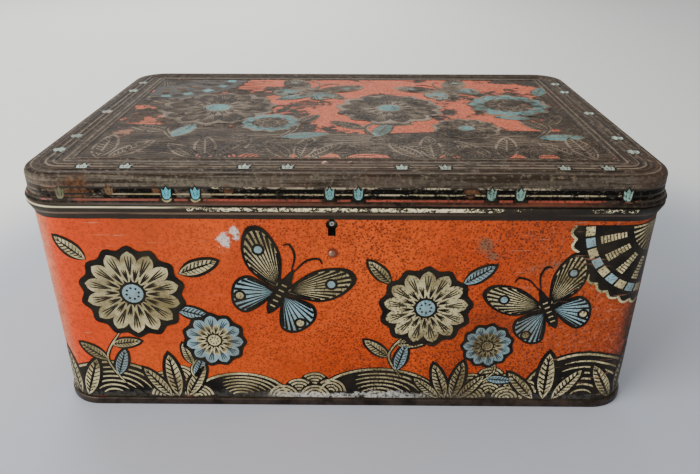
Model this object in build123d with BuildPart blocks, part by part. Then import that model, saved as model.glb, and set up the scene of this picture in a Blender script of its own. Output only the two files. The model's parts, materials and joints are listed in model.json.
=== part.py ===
from build123d import *
from math import cos, radians, sin
import os

# Hinged tinplate sweet box with a small built-in lock.
# The frame has its origin at the middle of the underside, X to the right, Y to the back and Z up.
# Everything is in millimetres. The box is closed, with the bolt of the lock drawn back.

# Box: the outer face of the plain wall, and the metal that it is made of
box_width = 240.0
box_depth = 164.0
corner_radius = 15.0
sheet = 0.35

# Double seam at the foot, where the edges of wall and bottom panel are folded into each other
seam_height = 3.2
seam_corner = 0.5
hook_end_gap = 0.2
bottom_recess = 2.6
bottom_bend = 0.5
field_margin = 20.0
field_radius = 10.0
field_height = 0.8
field_draft = 45.0

# Bead that carries the lid, the neck above it and the rolled rim of the neck
bead_ledge = 92.95
bead_height = 5.35
bead_band = 1.25
bead_out = 2.0
bead_foot_radius = 2.5
bead_nose_radius = 1.0
bead_edge_radius = 0.65
bead_neck_radius = 0.5
neck_height = 8.85
rim_radius = 0.8
rim_leg = 0.8

# Lock seam down the middle of the back
side_seam_width = 5.0
side_seam_margin = 1.2
side_seam_round = 0.2

# Lid
lid_headroom = 3.0
lid_clearance = 0.3
lid_shoulder = 2.5
lid_gap = 0.1
ridge_offsets = (4.9, 7.6, 10.3, 16.4)
ridge_width = 1.7
ridge_height = 0.3
ridge_smallest_radius = 3.5
flat_start = 3.0

# Hinge: a wire in the lid's hem, held to the box by two wrapped lugs
wire_radius = 0.5
wire_play = 0.05
wire_end_margin = 2.0
hem_lean = 30.0
hem_gap = 0.07
hinge_spacing = 130.0
lug_width = 11.0
lug_notch_play = 1.0
lug_wrap = 250.0
lug_bend = 0.5
lug_slot_play = 0.1
hem_notch_rise = 0.5

# Keyhole and key post
key_x = -4.7
key_drop = 7.75
keyhole_radius = 2.2
keyhole_slot_width = 2.9
keyhole_drop = 4.7
post_radius = 0.9
post_setback = 0.45
post_dimple_radius = 0.4
post_dimple_depth = 0.8
post_groove_radius = 0.65
post_groove_width = 0.5

# Lock case, measured from the key post
plate = 0.5
case_depth = 6.5
case_left = 13.7
case_right = 13.3
case_below = 6.7
case_above = 13.8
case_corner = 1.2
case_edge_gap = 0.3
ear_width = 12.0
ear_bend = 0.3
ear_root = 1.4
ear_end = 3.4
ear_corner = 2.0
top_ear_width = 10.0
rivet_below = 12.3
hasp_slot_play = 0.8
hasp_slot_depth = 3.6

# Rivets
rivet_head_radius = 1.35
rivet_head_height = 0.6
rivet_shank_radius = 0.8
rivet_tail_radius = 1.25
rivet_tail_height = 0.5

# Bolt, its studs and its spring, measured from the key post
bolt_plate = 1.0
bolt_travel = 3.4
bolt_setback = 2.6
bolt_left = 12.9
bolt_body_width = 7.2
bolt_arm_above = 2.6
bolt_arm_height = 3.4
bolt_arm_right = 9.1
bolt_corner = 0.4
nose_above = 9.9
nose_height = 2.0
nose_gap = 0.55
talon_width = 4.0
talon_depth = 2.1
stud_radius = 0.9
stud_play = 0.08
stud_head_radius = 1.6
stud_head_thickness = 0.5
stud_shoulder_radius = 1.7
stud_left_x = -7.5
stud_left_above = 7.3
stud_right_x = 7.3
stud_right_above = 4.3
spring_sheet = 0.25
spring_foot = 2.0
spring_gap = 0.05
spring_rise = 3.0
spring_tip = 1.5
spring_tip_drop = 0.5
spring_bend = 1.0

# Hasp on the lid
hasp_offset = 2.15
hasp_plate = 0.8
hasp_foot_width = 16.0
hasp_foot_setback = 17.5
hasp_bend = 1.4
hasp_leg_width = 8.0
hasp_leg_gap = 0.7
hasp_leg_corner = 1.0
hasp_foot_corner = 1.5
hasp_notch_height = 3.6
hasp_notch_end = 0.45
hasp_rivet_spacing = 9.7
hasp_rivet_setback = 12.7

# Places worked out from the sizes above
half_width = box_width / 2
half_depth = box_depth / 2
wall_inside = half_depth - sheet
bead_foot = bead_ledge - bead_height
bead_nose = bead_ledge - bead_band
rim_top = bead_ledge + neck_height
neck_top = rim_top - rim_radius
lid_top = rim_top + lid_headroom
fold_low = 2.5 * sheet
fold_high = seam_height - 1.5 * sheet
hook_length = fold_high - fold_low - hook_end_gap
skirt = lid_clearance + sheet
lid_underside = lid_top - sheet
curl_radius = wire_radius + wire_play
hinge_out = skirt + curl_radius
hinge_y = half_depth + hinge_out
hinge_z = bead_ledge + lid_gap + sheet + curl_radius
hem_cos = cos(radians(hem_lean))
hem_sin = sin(radians(hem_lean))
hem_flank = (curl_radius * (1 + hem_cos) - hem_gap) / hem_sin
hem_tip_out = skirt + hem_gap
hem_tip_z = hinge_z + curl_radius * hem_sin + hem_flank * hem_cos
hem_top = hem_tip_z + sheet * hem_sin
lug_top = hinge_z + curl_radius + sheet
key_z = bead_ledge - key_drop
rivet_z = key_z - rivet_below
case_bottom = key_z - case_below
case_top = key_z + case_above
case_back = wall_inside - case_depth
case_x = key_x + (case_right - case_left) / 2
case_z = (case_top + case_bottom) / 2
case_width = case_left + case_right
case_height = case_top - case_bottom
bolt_front = wall_inside - bolt_setback
bolt_back = bolt_front - bolt_plate
bolt_start = key_x - bolt_left
bolt_arm_bottom = key_z + bolt_arm_above
bolt_arm_top = bolt_arm_bottom + bolt_arm_height
nose_z = key_z + nose_above
bolt_body_top = nose_z + nose_height / 2
bolt_body_end = bolt_start + bolt_body_width
hasp_x = key_x + hasp_offset
hasp_left = hasp_x - hasp_leg_width / 2
hasp_front = bolt_back + (bolt_plate + hasp_plate) / 2
nose_end = hasp_left - nose_gap
hasp_leg_bottom = bolt_arm_top + hasp_leg_gap
hasp_foot_back = half_depth - hasp_foot_setback
hasp_rivet_y = half_depth - hasp_rivet_setback
studs = (
    (key_x + stud_left_x, key_z + stud_left_above),
    (key_x + stud_right_x, key_z + stud_right_above),
)
hasp_rivets_x = (hasp_x - hasp_rivet_spacing / 2, hasp_x + hasp_rivet_spacing / 2)

os.makedirs("parts", exist_ok=True)

# The section planes stand at the middle of the front and back: x runs outward and y runs up
front_section = Plane(origin=(0, -half_depth, 0), x_dir=(0, -1, 0), z_dir=(-1, 0, 0))
back_section = Plane(origin=(0, half_depth, 0), x_dir=(0, 1, 0), z_dir=(1, 0, 0))


def rounded_path(inset, radius):
    """Closed wire of a rounded rectangle, inset from the wall's outer face."""
    with BuildSketch() as outline:
        RectangleRounded(box_width - 2 * inset, box_depth - 2 * inset, radius)
    return outline.sketch.faces()[0].outer_wire()


def on_front(y, x=0.0, z=0.0):
    """Plane at distance y in front of the middle, facing forward."""
    return Plane(origin=(x, -y, z), x_dir=(1, 0, 0), z_dir=(0, -1, 0))


wall_path = rounded_path(0, corner_radius)

# Wall: hooked at the foot, beaded under the lid, rolled inward at the rim
with BuildPart() as body_wall:
    with BuildSketch(front_section):
        with BuildLine():
            hook = Line((sheet, fold_low + hook_length), (sheet, fold_low))
            fold = JernArc(hook @ 1, (0, -1), sheet / 2, -180)
            run = FilletPolyline(
                fold @ 1,
                (0, bead_foot),
                (bead_out, bead_nose),
                (bead_out, bead_ledge),
                (0, bead_ledge),
                (0, neck_top),
                radius=[bead_foot_radius, bead_nose_radius, bead_edge_radius, bead_neck_radius],
            )
            rim = JernArc(run @ 1, (0, 1), rim_radius, 180)
            Line(rim @ 1, rim @ 1 - Vector(0, rim_leg))
            offset(amount=sheet, side=Side.LEFT, closed=True)
        make_face()
    sweep(path=wall_path)

    # Lock seam down the back
    with BuildSketch(Plane.XY.offset(seam_height + side_seam_margin)) as seam:
        with Locations((0, half_depth)):
            Rectangle(side_seam_width, 2 * sheet)
        fillet(seam.vertices().sort_by(Axis.Y)[-2:], side_seam_round)
    extrude(amount=bead_foot - seam_height - 2 * side_seam_margin)

    # Slots for the hinge lugs
    lug_slot_bottom = lug_top - sheet - lug_slot_play
    lug_slot_height = sheet + lug_bend + lug_slot_play
    with Locations((0, half_depth, lug_slot_bottom)):
        with GridLocations(hinge_spacing, 0, 2, 1):
            Box(
                lug_width + 2 * lug_slot_play,
                4 * sheet,
                lug_slot_height,
                align=(Align.CENTER, Align.CENTER, Align.MIN),
                mode=Mode.SUBTRACT,
            )

    # Keyhole, and the hole for the rivet of the lock
    with BuildSketch(on_front(half_depth + sheet)):
        with Locations((key_x, key_z)):
            Circle(keyhole_radius)
            with Locations((0, -keyhole_drop)):
                Rectangle(keyhole_slot_width, keyhole_drop, align=(Align.CENTER, Align.MIN))
        with Locations((key_x, rivet_z)):
            Circle(rivet_shank_radius)
    extrude(amount=-3 * sheet, mode=Mode.SUBTRACT)
body_wall.part.label = "body_wall"
export_step(body_wall.part, "parts/body_wall.step")

# Bottom panel: recessed, folded round the wall's hook, with a shallow raised field
with BuildPart() as bottom_panel:
    with BuildSketch(front_section):
        with BuildLine():
            hook = Line((sheet, fold_high - hook_length), (sheet, fold_high))
            fold = JernArc(hook @ 1, (0, 1), sheet / 2, -180)
            FilletPolyline(
                fold @ 1,
                (2 * sheet, sheet),
                (-sheet, sheet),
                (-sheet, bottom_recess + sheet),
                (-flat_start, bottom_recess + sheet),
                radius=[seam_corner - sheet, seam_corner - sheet, bottom_bend + sheet],
            )
            offset(amount=sheet, side=Side.RIGHT, closed=True)
        make_face()
    sweep(path=wall_path)
    with BuildSketch(Plane.XY.offset(bottom_recess)):
        RectangleRounded(
            box_width - 2 * flat_start,
            box_depth - 2 * flat_start,
            corner_radius - flat_start,
        )
    extrude(amount=sheet)
    field_width = box_width - 2 * field_margin
    field_depth = box_depth - 2 * field_margin
    with BuildSketch(Plane.XY.offset(bottom_recess + sheet)):
        RectangleRounded(field_width, field_depth, field_radius)
    extrude(amount=field_height, taper=field_draft)
    with BuildSketch(Plane.XY.offset(bottom_recess)):
        RectangleRounded(field_width - sheet, field_depth - sheet, field_radius - sheet / 2)
    extrude(amount=field_height, taper=field_draft, mode=Mode.SUBTRACT)
bottom_panel.part.label = "bottom_panel"
export_step(bottom_panel.part, "parts/bottom_panel.step")

# Hinge lugs: straps wrapped round the wire, their tails through the neck and up behind the rim
for name, side in (("hinge_lug_left", -1), ("hinge_lug_right", 1)):
    with BuildPart() as hinge_lug:
        with BuildSketch(back_section.offset(side * hinge_spacing / 2)):
            with BuildLine():
                # The two faces of the strap, from the top of its tail to the end of its loop
                face_ends = []
                for depth in (0, sheet):
                    tail = FilletPolyline(
                        (depth - 2 * sheet, neck_top),
                        (depth - 2 * sheet, lug_top - sheet + depth),
                        (hinge_out, lug_top - sheet + depth),
                        radius=lug_bend + sheet - depth,
                    )
                    loop = JernArc(tail @ 1, (1, 0), curl_radius + depth, -lug_wrap)
                    face_ends.append((tail @ 0, loop @ 1))
                Line(face_ends[0][0], face_ends[1][0])
                Line(face_ends[0][1], face_ends[1][1])
            make_face()
        extrude(amount=lug_width / 2, both=True)
    hinge_lug.part.label = name
    export_step(hinge_lug.part, f"parts/{name}.step")

# Lid: hemmed skirt, rounded shoulder and a top pressed with parallel ridges
with BuildPart() as lid_shell:
    with BuildSketch(front_section):
        with BuildLine():
            # The two faces of the sheet, from the tip of the hem to the flat top
            face_ends = []
            for depth in (0, sheet):
                radius = curl_radius + depth
                tip = (hem_tip_out + depth * hem_cos, hem_tip_z + depth * hem_sin)
                flank_end = (hinge_out + radius * hem_cos, hinge_z + radius * hem_sin)
                Line(tip, flank_end)
                curl = JernArc(flank_end, (hem_sin, -hem_cos), radius, -180 - hem_lean)
                shoulder = FilletPolyline(
                    curl @ 1,
                    (skirt - depth, lid_top - depth),
                    (-flat_start, lid_top - depth),
                    radius=lid_shoulder - depth,
                )
                face_ends.append((tip, shoulder @ 1))
            Line(face_ends[0][0], face_ends[1][0])
            Line(face_ends[0][1], face_ends[1][1])
        make_face()
    sweep(path=wall_path)
    with BuildSketch(Plane.XY.offset(lid_underside)):
        RectangleRounded(
            box_width - 2 * flat_start,
            box_depth - 2 * flat_start,
            corner_radius - flat_start,
        )
    extrude(amount=sheet)
    for inset in ridge_offsets:
        ridge_path = rounded_path(inset, max(corner_radius - inset, ridge_smallest_radius))
        for face_z, mode in ((lid_top, Mode.ADD), (lid_underside, Mode.SUBTRACT)):
            with BuildSketch(front_section):
                with BuildLine():
                    crown = ThreePointArc(
                        (-inset - ridge_width / 2, face_z),
                        (-inset, face_z + ridge_height),
                        (-inset + ridge_width / 2, face_z),
                    )
                    Line(crown @ 1, crown @ 0)
                make_face()
            sweep(path=ridge_path, mode=mode)

    # Gaps in the hem, where the lugs hold the wire
    notch_height = hem_top + hem_notch_rise - bead_ledge
    with Locations((0, half_depth, bead_ledge)):
        with GridLocations(hinge_spacing, 0, 2, 1):
            Box(
                lug_width + 2 * lug_notch_play,
                2 * (hinge_out + curl_radius + sheet),
                notch_height,
                align=(Align.CENTER, Align.CENTER, Align.MIN),
                mode=Mode.SUBTRACT,
            )

    # Holes for the rivets of the hasp
    with BuildSketch(Plane.XY.offset(lid_underside)):
        with Locations(*((x, -hasp_rivet_y) for x in hasp_rivets_x)):
            Circle(rivet_shank_radius)
    extrude(amount=sheet, mode=Mode.SUBTRACT)
lid_shell.part.label = "lid_shell"
export_step(lid_shell.part, "parts/lid_shell.step")

# Wire inside the rear hem, which is the pin of the hinge
with BuildPart() as hinge_wire:
    with BuildSketch(Plane.YZ):
        with Locations((hinge_y, hinge_z)):
            Circle(wire_radius)
    extrude(amount=half_width - corner_radius - wire_end_margin, both=True)
hinge_wire.part.label = "hinge_wire"
export_step(hinge_wire.part, "parts/hinge_wire.step")

# Lock case: a pressed box, open to the wall, with an ear riveted below and one behind the rim
with BuildPart() as lock_case:
    with BuildSketch(on_front(case_back - plate, case_x, case_z)):
        RectangleRounded(case_width, case_height, case_corner)
    extrude(amount=case_depth + plate - case_edge_gap)
    with BuildSketch(on_front(case_back, case_x, case_z)):
        RectangleRounded(case_width - 2 * plate, case_height - 2 * plate, case_corner - plate)
    extrude(amount=case_depth, mode=Mode.SUBTRACT)
    ears = (
        (case_bottom + plate, rivet_z - ear_end, Side.RIGHT, ear_width),
        (case_top - plate, neck_top, Side.LEFT, top_ear_width),
    )
    for root_z, end_z, strap_side, width in ears:
        with BuildSketch(front_section.offset(-key_x)):
            with BuildLine():
                FilletPolyline(
                    (-sheet - ear_root, root_z),
                    (-sheet, root_z),
                    (-sheet, end_z),
                    radius=ear_bend + plate,
                )
                offset(amount=plate, side=strap_side, closed=True)
            make_face()
        extrude(amount=width / 2, both=True)
    corner_edges = lock_case.edges().filter_by(Axis.Y).sort_by(Axis.Z)[:2]
    fillet(corner_edges, radius=ear_corner)

    # Slot for the hasp, and the holes for rivet, post and studs
    with BuildSketch(Plane.XY.offset(case_top - plate)):
        with Locations((hasp_x, -(bolt_back + bolt_front) / 2)):
            Rectangle(hasp_leg_width + hasp_slot_play, hasp_slot_depth)
    extrude(amount=plate, mode=Mode.SUBTRACT)
    with BuildSketch(on_front(wall_inside)):
        with Locations((key_x, rivet_z)):
            Circle(rivet_shank_radius)
        with Locations((key_x, key_z)):
            Circle(post_radius)
        with Locations(*studs):
            Circle(stud_radius)
    extrude(amount=-case_depth - plate, mode=Mode.SUBTRACT)
lock_case.part.label = "lock_case"
export_step(lock_case.part, "parts/lock_case.step")

# Key post: a round pin with a hollow end, riveted to the back of the case
with BuildPart() as key_post:
    with BuildSketch(Plane.XY.offset(key_z)):
        with BuildLine():
            post_end = -wall_inside + post_setback
            post_back = -case_back + plate
            Polyline(
                (key_x, post_end + post_dimple_depth),
                (key_x + post_dimple_radius, post_end + post_dimple_depth),
                (key_x + post_dimple_radius, post_end),
                (key_x + post_radius, post_end),
                (key_x + post_radius, -case_back - post_groove_width),
                (key_x + post_groove_radius, -case_back - post_groove_width),
                (key_x + post_groove_radius, -case_back),
                (key_x + post_radius, -case_back),
                (key_x + post_radius, post_back),
                (key_x + rivet_tail_radius, post_back),
                (key_x + rivet_tail_radius, post_back + rivet_tail_height),
                (key_x, post_back + rivet_tail_height),
                close=True,
            )
        make_face()
    revolve(axis=Axis((key_x, 0, key_z), (0, 1, 0)))
key_post.part.label = "key_post"
export_step(key_post.part, "parts/key_post.step")

# Studs that carry the bolt: each has a shoulder behind the bolt and a head in front of it
with BuildPart() as bolt_studs:
    for x, z in studs:
        with BuildSketch(Plane.XY.offset(z)):
            with BuildLine():
                shoulder_y = -bolt_back + stud_play
                head_y = -bolt_front - stud_play
                back_y = -case_back + plate
                Polyline(
                    (x, head_y - stud_head_thickness),
                    (x + stud_head_radius, head_y - stud_head_thickness),
                    (x + stud_head_radius, head_y),
                    (x + stud_radius, head_y),
                    (x + stud_radius, shoulder_y),
                    (x + stud_shoulder_radius, shoulder_y),
                    (x + stud_shoulder_radius, -case_back),
                    (x + stud_radius, -case_back),
                    (x + stud_radius, back_y),
                    (x + rivet_tail_radius, back_y),
                    (x + rivet_tail_radius, back_y + rivet_tail_height),
                    (x, back_y + rivet_tail_height),
                    close=True,
                )
            make_face()
        revolve(axis=Axis((x, 0, z), (0, 1, 0)))
bolt_studs.part.label = "bolt_studs"
export_step(bolt_studs.part, "parts/bolt_studs.step")

# Rivets: the one that holds the lock case to the wall, and the pair that holds the hasp to the lid
lock_rivet_plane = Plane(origin=(key_x, -half_depth, rivet_z), x_dir=(1, 0, 0), z_dir=(0, 0, -1))
hasp_rivet_planes = [
    Plane(origin=(x, -hasp_rivet_y, lid_top), x_dir=(1, 0, 0), z_dir=(0, -1, 0))
    for x in hasp_rivets_x
]
rivet_groups = (
    ("lock_rivet", [lock_rivet_plane], sheet + plate),
    ("hasp_rivets", hasp_rivet_planes, sheet + hasp_plate),
)
for name, rivet_planes, grip in rivet_groups:
    with BuildPart() as rivets:
        for rivet_plane in rivet_planes:
            with BuildSketch(rivet_plane):
                with BuildLine():
                    dome = TangentArc(
                        (0, rivet_head_height),
                        (rivet_head_radius, 0),
                        tangent=(1, 0),
                    )
                    Polyline(
                        dome @ 1,
                        (rivet_shank_radius, 0),
                        (rivet_shank_radius, -grip),
                        (rivet_tail_radius, -grip),
                        (rivet_tail_radius, -grip - rivet_tail_height),
                        (0, -grip - rivet_tail_height),
                        dome @ 0,
                    )
                make_face()
            revolve(axis=Axis(rivet_plane.origin, rivet_plane.y_dir))
    rivets.part.label = name
    export_step(rivets.part, f"parts/{name}.step")

# Bolt: a plate with a nose for the hasp, a notch for the key and two slots for the studs
with BuildPart() as lock_bolt:
    with BuildSketch(on_front(bolt_back)) as bolt_face:
        with BuildLine():
            Polyline(
                (bolt_start, bolt_arm_bottom),
                (key_x + bolt_arm_right, bolt_arm_bottom),
                (key_x + bolt_arm_right, bolt_arm_top),
                (bolt_body_end, bolt_arm_top),
                (bolt_body_end, nose_z - nose_height / 2),
                (nose_end, nose_z - nose_height / 2),
                (nose_end, bolt_body_top),
                (bolt_start, bolt_body_top),
                close=True,
            )
        make_face()
        fillet(bolt_face.vertices(), radius=bolt_corner)
        with Locations((key_x - bolt_travel / 2, bolt_arm_bottom)):
            Rectangle(
                talon_width,
                talon_depth,
                align=(Align.CENTER, Align.MIN),
                mode=Mode.SUBTRACT,
            )
        with Locations(*((x - bolt_travel / 2, z) for x, z in studs)):
            SlotCenterToCenter(bolt_travel, 2 * (stud_radius + stud_play), mode=Mode.SUBTRACT)
    extrude(amount=bolt_plate)
lock_bolt.part.label = "lock_bolt"
export_step(lock_bolt.part, "parts/lock_bolt.step")

# Spring: a leaf on the top edge of the bolt that rubs under the top of the case
with BuildPart() as bolt_spring:
    with BuildSketch(on_front(bolt_back)):
        with BuildLine():
            foot_x = bolt_start + bolt_corner
            crest_x = foot_x + spring_foot + spring_rise
            crest_z = case_top - plate - spring_gap - spring_sheet
            FilletPolyline(
                (foot_x, bolt_body_top),
                (foot_x + spring_foot, bolt_body_top),
                (crest_x, crest_z),
                (crest_x + spring_tip, crest_z - spring_tip_drop),
                radius=spring_bend,
            )
            offset(amount=spring_sheet, side=Side.LEFT, closed=True)
        make_face()
    extrude(amount=bolt_plate)
bolt_spring.part.label = "bolt_spring"
export_step(bolt_spring.part, "parts/bolt_spring.step")

# Hasp: a bent plate under the lid, with a leg that drops into the lock and is notched for the bolt
with BuildPart() as hasp:
    with BuildSketch(front_section.offset(-hasp_x)):
        with BuildLine():
            FilletPolyline(
                (hasp_foot_back - half_depth, lid_underside),
                (hasp_front - half_depth, lid_underside),
                (hasp_front - half_depth, hasp_leg_bottom),
                radius=hasp_bend,
            )
            offset(amount=hasp_plate, side=Side.RIGHT, closed=True)
        make_face()
    extrude(amount=hasp_leg_width / 2, both=True)
    toe_edges = hasp.edges().filter_by(Axis.Y).sort_by(Axis.Z)[:2]
    fillet(toe_edges, radius=hasp_leg_corner)
    foot_front = hasp_front - hasp_bend - hasp_foot_corner
    with BuildSketch(Plane.XY.offset(lid_underside - hasp_plate)):
        with Locations((hasp_x, -(hasp_foot_back + foot_front) / 2)):
            RectangleRounded(hasp_foot_width, foot_front - hasp_foot_back, hasp_foot_corner)
        with Locations(*((x, -hasp_rivet_y) for x in hasp_rivets_x)):
            Circle(rivet_shank_radius, mode=Mode.SUBTRACT)
    extrude(amount=hasp_plate)
    with BuildSketch(on_front(hasp_front)):
        with Locations((hasp_left, nose_z)):
            Rectangle(
                bolt_travel - nose_gap + hasp_notch_end,
                hasp_notch_height,
                align=(Align.MIN, Align.CENTER),
            )
    extrude(amount=-hasp_plate, mode=Mode.SUBTRACT)
hasp.part.label = "hasp"
export_step(hasp.part, "parts/hasp.step")
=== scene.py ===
import json
from cmath import rect
from math import atan2, cos, dist, hypot, pi, radians, sin

import bmesh
import bpy
from mathutils import Matrix, Vector
from mathutils.geometry import tessellate_polygon


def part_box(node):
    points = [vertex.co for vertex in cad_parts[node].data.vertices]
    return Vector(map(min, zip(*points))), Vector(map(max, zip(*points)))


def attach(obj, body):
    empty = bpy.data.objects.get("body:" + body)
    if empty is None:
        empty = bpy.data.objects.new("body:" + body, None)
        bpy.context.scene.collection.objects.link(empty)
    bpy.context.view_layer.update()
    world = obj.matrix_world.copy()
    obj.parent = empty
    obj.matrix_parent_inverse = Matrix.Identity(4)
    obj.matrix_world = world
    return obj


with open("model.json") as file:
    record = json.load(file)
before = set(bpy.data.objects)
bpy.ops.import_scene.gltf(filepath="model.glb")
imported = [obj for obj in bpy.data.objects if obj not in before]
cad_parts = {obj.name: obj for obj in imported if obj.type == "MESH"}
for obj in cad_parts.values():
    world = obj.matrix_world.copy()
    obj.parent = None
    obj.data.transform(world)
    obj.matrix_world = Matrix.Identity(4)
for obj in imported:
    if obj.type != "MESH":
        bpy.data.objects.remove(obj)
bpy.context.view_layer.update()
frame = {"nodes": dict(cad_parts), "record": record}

scene = bpy.context.scene
MM = 0.001

# Sizes of the box, in millimetres, as the frame has them
HALF_WIDTH = 120.0
HALF_DEPTH = 82.0
CORNER = 15.0
SKIRT_OUT = 0.65
HEM_TOP = 96.0
HEM_OUT = 0.41
HEM_SLOPE = 0.575
LID_TOP = 104.8
RIDGE_INSETS = (4.9, 7.6, 10.3, 16.4)
RIDGE_WIDTH = 1.7
RIDGE_HEIGHT = 0.3
FLAT_X = HALF_WIDTH - CORNER
FLAT_Y = HALF_DEPTH - CORNER
BEND = CORNER * pi / 2
SIDE_MIDDLE = FLAT_X + BEND + FLAT_Y
BACK_MIDDLE = 2 * SIDE_MIDDLE
UP = pi / 2

# Edges of the two pictures, in millimetres: the wall's foot, and the lid's inset, foot and side
WALL_FOOT = 3.7
PANEL_INSET = 17.3
PANEL_FOOT = -64.6
PANEL_SIDE = 102.6

# Raised print, in millimetres: each shape's foot, the steps between shapes of one colour, and between motifs
SHAPE_FOOT = -0.02
SHAPE_STEP = 0.0016
SHAPE_LEVELS = 9
OVER_STEP = 0.075
MOTIF_LAYERS = (("fill", 0.0), ("blue", 0.0), ("fill_high", 0.025), ("line", 0.045), ("blue_top", 0.07),
                ("fill_top", 0.07), ("line_top", 0.095))

# How finely the print follows the box's corners, and how finely petals, ripples and skirt lines are drawn
BEND_STEPS = 16
PETAL_STEPS = 9
RIPPLE_STEPS = 60
SKIRT_STEPS = 240

# Directions that the cuts through a shape face
AXES = {"x": Vector((1, 0, 0)), "y": Vector((0, 1, 0))}

# Camera, set from the edges of the box in the photograph: its turns in radians, the photograph's width and
# the lens in its pixels, the sensor in millimetres, and the place in metres
YAW = 0.0088
PITCH = 0.4644
ROLL = 0.0015
PHOTO_WIDTH = 700
LENS_PIXELS = 646.3
SENSOR_WIDTH = 36
CAMERA_PLACE = (0.00398, -0.2979, 0.1883)


def add_camera():
    data = bpy.data.cameras.new("camera")
    data.sensor_width = SENSOR_WIDTH
    data.lens = SENSOR_WIDTH * LENS_PIXELS / PHOTO_WIDTH
    data.clip_start = 0.005
    camera = bpy.data.objects.new("camera", data)
    scene.collection.objects.link(camera)
    place = Matrix.Translation(CAMERA_PLACE)
    for angle, axis in ((YAW, "Z"), (UP - PITCH, "X"), (ROLL, "Z")):
        place = place @ Matrix.Rotation(angle, 4, axis)
    camera.matrix_world = place
    scene.camera = camera


add_camera()


# Colours, as the 0 to 255 values that a picture editor shows

def srgb(red, green, blue):
    def linear(value):
        value = value / 255
        return value / 12.92 if value <= 0.04045 else ((value + 0.055) / 1.055) ** 2.4
    return (linear(red), linear(green), linear(blue), 1.0)


# Print on the wall and the skirt
ORANGE = srgb(232, 90, 18)
ORANGE_DEEP = srgb(214, 74, 12)
ORANGE_RICH = srgb(234, 66, 4)
# Painted sheen for the bends that face left
ORANGE_BEND_SHEEN = srgb(255, 178, 140)
ORANGE_DARK = srgb(104, 42, 14)
CREAM = srgb(222, 208, 160)
KHAKI = srgb(128, 114, 74)
PALE_BLUE = srgb(150, 188, 198)
BLUE_GREY = srgb(128, 142, 142)
INK = srgb(12, 11, 9)
INK_WORN = srgb(42, 36, 27)
GOLD = srgb(188, 176, 146)
CORAL = srgb(166, 74, 54)
CORAL_DARK = srgb(112, 50, 36)
BEAD_BROWN = srgb(58, 48, 36)
BEAD_CREAM = srgb(255, 243, 200)
# Painted highlight on the bead
BEAD_SHINE = srgb(134, 112, 92)
HEM_DARK = srgb(26, 21, 17)
HEM_BROWN = srgb(60, 50, 40)
# Painted highlight on the hem
HEM_HIGHLIGHT = srgb(104, 95, 88)
# Painted reflection of the coral line on the hem
HEM_CORAL_REFLECTION = srgb(118, 62, 44)

# Print on the lid
LID_ORANGE = srgb(200, 98, 68)
LID_ORANGE_PALE = srgb(214, 122, 94)
LID_DARK = srgb(36, 28, 21)
LID_BROWN = srgb(73, 60, 47)
LID_TINT = srgb(70, 40, 24)
LID_PALE = srgb(148, 131, 112)
LID_BLACK = srgb(34, 30, 25)
LID_BLACK_WORN = srgb(50, 43, 35)
LID_BLUE = srgb(104, 160, 162)
LID_BLUE_GREY = srgb(92, 108, 100)
SHOULDER_BROWN = srgb(50, 41, 33)
SHOULDER_PALE = srgb(122, 112, 99)

# Buds, each with a second tone that mottles it
BUD_BLUE = (srgb(104, 192, 204), srgb(78, 158, 174))
BUD_FADED = (srgb(122, 140, 104), srgb(96, 92, 66))
BUD_GREY = (srgb(124, 180, 182), srgb(92, 138, 138))
BUD_GREEN = (srgb(140, 178, 166), srgb(98, 136, 124))
BUD_RUSTY = (srgb(134, 104, 66), srgb(94, 62, 40))
BUD_LID = (srgb(184, 202, 188), srgb(150, 158, 142))
BUD_LID_EDGE = (srgb(34, 34, 28), LID_DARK)

# Wear, dirt and rust
OXIDE = srgb(42, 28, 18)
PIT_RED = srgb(108, 38, 14)
PIT_BROWN = srgb(84, 35, 18)
SMUDGE = srgb(112, 52, 28)
SCUFF = srgb(226, 156, 122)
PINK_SPECK = srgb(214, 128, 100)
FLAKED = srgb(222, 218, 210)
SCRAPED = srgb(112, 92, 70)
FOOT_DARK = srgb(26, 20, 15)
FOOT_WORN = srgb(74, 60, 46)
RUST = srgb(104, 48, 20)
RUST_BROWN = srgb(70, 46, 32)
RUST_PALE = srgb(112, 78, 54)

# Bare metal: a light and a dark tone of each
TIN = (srgb(158, 150, 132), srgb(112, 100, 80))
SEAM = (srgb(80, 67, 58), srgb(38, 31, 27))
LOCK_STEEL = (srgb(126, 122, 114), srgb(70, 64, 56))
RIVET = (srgb(232, 190, 172), srgb(150, 104, 86))
KEY_POST = (srgb(186, 184, 180), srgb(136, 132, 126))
HASP_RIVET = (srgb(206, 166, 144), srgb(104, 78, 62))

# Studio, and the floor's left and right, far from the box and near it: the right tones are painted shade,
# darker where the light falls off
STUDIO = srgb(226, 228, 228)
FLOOR_FAR_LIT_TO_SHADED = (srgb(255, 255, 250), srgb(206, 206, 204))
FLOOR_NEAR_LIT_TO_SHADED = (srgb(195, 200, 211), srgb(184, 188, 196))

# Marks on the front, as distance along X, height and size, in millimetres
RUST_SPOTS = ((-97, 99.8, 7.5), (-85, 99.4, 3), (-68, 99.4, 2.5), (-42, 98.6, 3.5), (46, 98.6, 3.5))
LOST_PAINT = ((-41.5, 82.3, 3.2), (-45.2, 78.4, 3.8), (-40.6, 79.6, 1.8))
SCRAPES = ((53.0, 77.0, 5.0), (56.5, 72.5, 3.6))

# Pale lines in the lid's border, as inset and width in millimetres, and strength; the first, near the edge,
# is a painted highlight along the shoulder
BORDER_LINES = ((2.2, 0.5, 0.5), (7.3, 0.7, 0.7), (9.9, 0.6, 0.6), (13.7, 0.7, 0.6), (16.4, 0.5, 0.5))


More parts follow.
